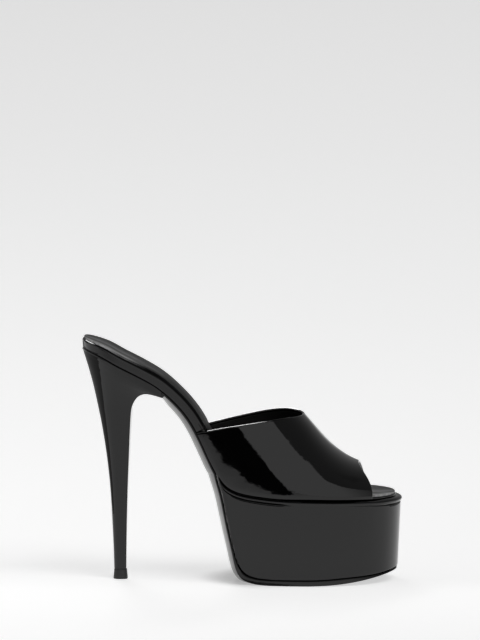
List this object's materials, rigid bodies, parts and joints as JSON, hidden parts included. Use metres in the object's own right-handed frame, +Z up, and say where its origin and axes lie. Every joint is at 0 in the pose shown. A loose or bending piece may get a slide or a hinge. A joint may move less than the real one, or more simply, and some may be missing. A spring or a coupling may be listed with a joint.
{
  "type": "platform mule",
  "caption": "Black patent platform mule with an open toe, wide vamp band, wrapped platform and tall stiletto heel.",
  "frame": {"origin": "on the floor, under the middle of the shoe's bounding box", "axes": "+X from heel to toe, +Y to the inner side of the foot, +Z up"},
  "size_m": [0.208, 0.0844, 0.1584],
  "materials": {
    "patent_upper": "black patent, high gloss",
    "patent_cover": "black patent, high gloss",
    "lining": "black nappa, satin",
    "sole": "black painted sole, semi gloss",
    "top_piece": "black, satin"
  },
  "bodies": {
    "root": {"upper": "patent_upper", "footbed": "patent_cover", "sock": "lining", "platform": "patent_cover", "outsole": "sole", "heel": "patent_cover", "heel_tip": "top_piece"}
  },
  "joints": []
}
